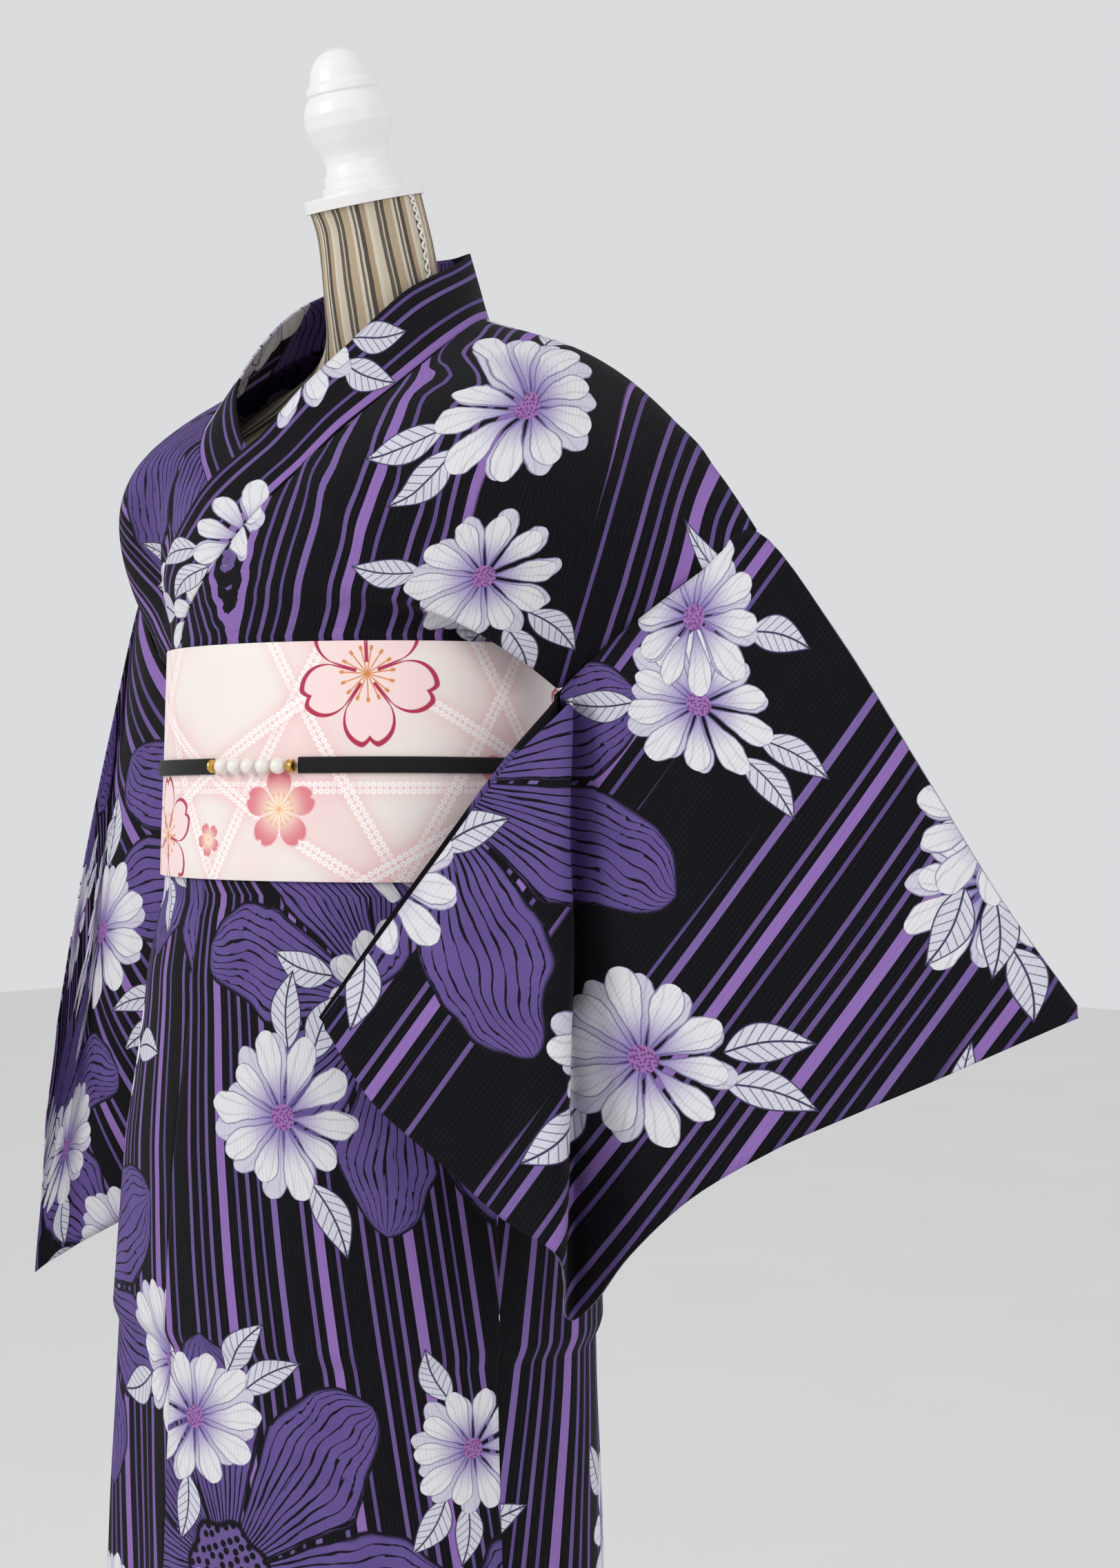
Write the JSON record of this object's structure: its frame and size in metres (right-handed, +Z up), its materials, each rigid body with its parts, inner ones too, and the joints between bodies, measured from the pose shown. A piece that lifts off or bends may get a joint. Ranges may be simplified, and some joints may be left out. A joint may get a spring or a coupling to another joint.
{
  "type": "yukata robe on dress form",
  "caption": "Printed cotton yukata robe, left side over right, with a flat obi belt and narrow cord, on a limbless padded dress form with a turned neck cap and a plain round stand.",
  "frame": {"origin": "centre of the stand base's flat underside, on the floor", "axes": "+Z up, the robe's front faces -Y, +X is the wearer's left"},
  "size_m": [0.8971, 0.3422, 1.5729],
  "materials": {
    "cotton": "black cotton printed with purple stripes and flowers",
    "obi_satin": "pale pink woven belt cloth with a soft sheen",
    "velvet": "black velvet ribbon",
    "pearl": "imitation pearl",
    "gilt": "polished",
    "linen": "striped woven linen cover",
    "white_wood": "white satin paint"
  },
  "bodies": {
    "root": {"form_torso": "linen", "finial": "white_wood", "pole": "white_wood", "stand_base": "white_wood", "body_left": "cotton", "body_right": "cotton", "okumi_left": "cotton", "okumi_right": "cotton", "collar": "cotton", "sleeve_left": "cotton", "sleeve_right": "cotton", "obi_band": "obi_satin", "obi_cord": "velvet", "pearl_1": "pearl", "pearl_2": "pearl", "pearl_3": "pearl", "pearl_4": "pearl", "pearl_5": "pearl", "clasp_left": "gilt", "clasp_right": "gilt"}
  },
  "joints": []
}
